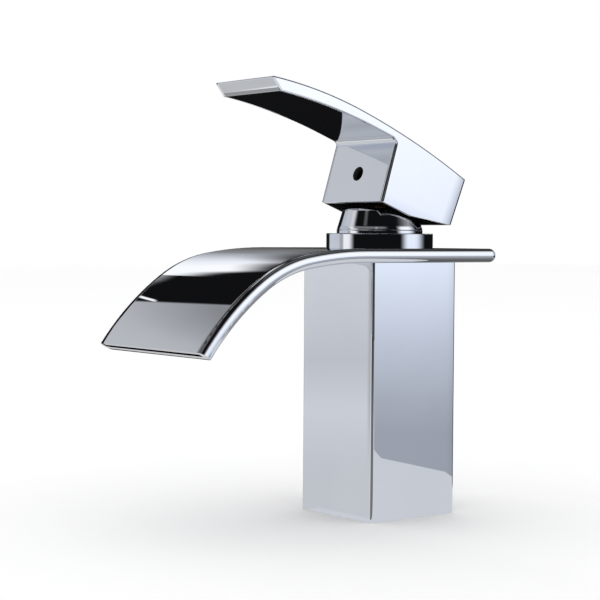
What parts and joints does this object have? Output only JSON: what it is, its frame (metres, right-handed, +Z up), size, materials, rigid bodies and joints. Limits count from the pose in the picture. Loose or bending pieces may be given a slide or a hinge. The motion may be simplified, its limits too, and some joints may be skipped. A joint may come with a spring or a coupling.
{
  "type": "basin faucet",
  "caption": "Chrome single-lever basin faucet with a square column, a wide curved waterfall spout with a thin lip outlet, and a block handle on a ceramic disc cartridge.",
  "frame": {"origin": "centre of the column's base, on the deck", "axes": "+Z up out of the deck, -Y the way the spout points, +X to the right of a person facing the spout from the front"},
  "size_m": [0.0726, 0.15, 0.1777],
  "materials": {
    "chrome": "polished",
    "brass": "machined",
    "steel": "machined",
    "plastic": "moulded",
    "ceramic": "ground",
    "rubber": "moulded"
  },
  "bodies": {
    "faucet body": {"body_column": "chrome", "inlet_block": "brass", "base_seal": "rubber", "hot_riser_tube": "brass", "cold_riser_tube": "brass", "valve_body": "brass", "spout_lower_shell": "chrome", "spout_upper_shell": "chrome", "neck_gasket": "rubber", "collar_gasket": "rubber", "collar_ring": "chrome", "retaining_nut": "brass", "dome_cover": "chrome", "cartridge_base": "plastic", "cartridge_inlet_seals": "rubber", "fixed_ceramic_disc": "ceramic", "cartridge_housing": "plastic", "cartridge_o_ring": "rubber"},
    "stem guide": {"stem_guide": "plastic", "pivot_pin": "steel"},
    "lever": {"lever_stem": "brass", "handle": "chrome", "set_screw": "steel"},
    "disc slider": {"disc_carrier": "plastic", "moving_ceramic_disc": "ceramic"}
  },
  "joints": [
    {"name": "handle_swivel", "type": "hinge", "parent": "faucet body", "child": "stem guide", "pos_m": [0, 0, 0.118], "axis": [0, 0, 1], "range_deg": [-50, 50]},
    {"name": "handle_lift", "type": "hinge", "parent": "stem guide", "child": "lever", "pos_m": [0, 0, 0.118], "axis": [1, 0, 0], "range_deg": [-4, 20]},
    {"name": "disc_slide", "type": "slide", "parent": "stem guide", "child": "disc slider", "axis": [0, 1, 0], "range_m": [-0.00125, 0.00595]}
  ],
  "couplings": [
    {"joint": "disc_slide", "follows": "handle_lift", "m_per_rad": 0.016914}
  ]
}
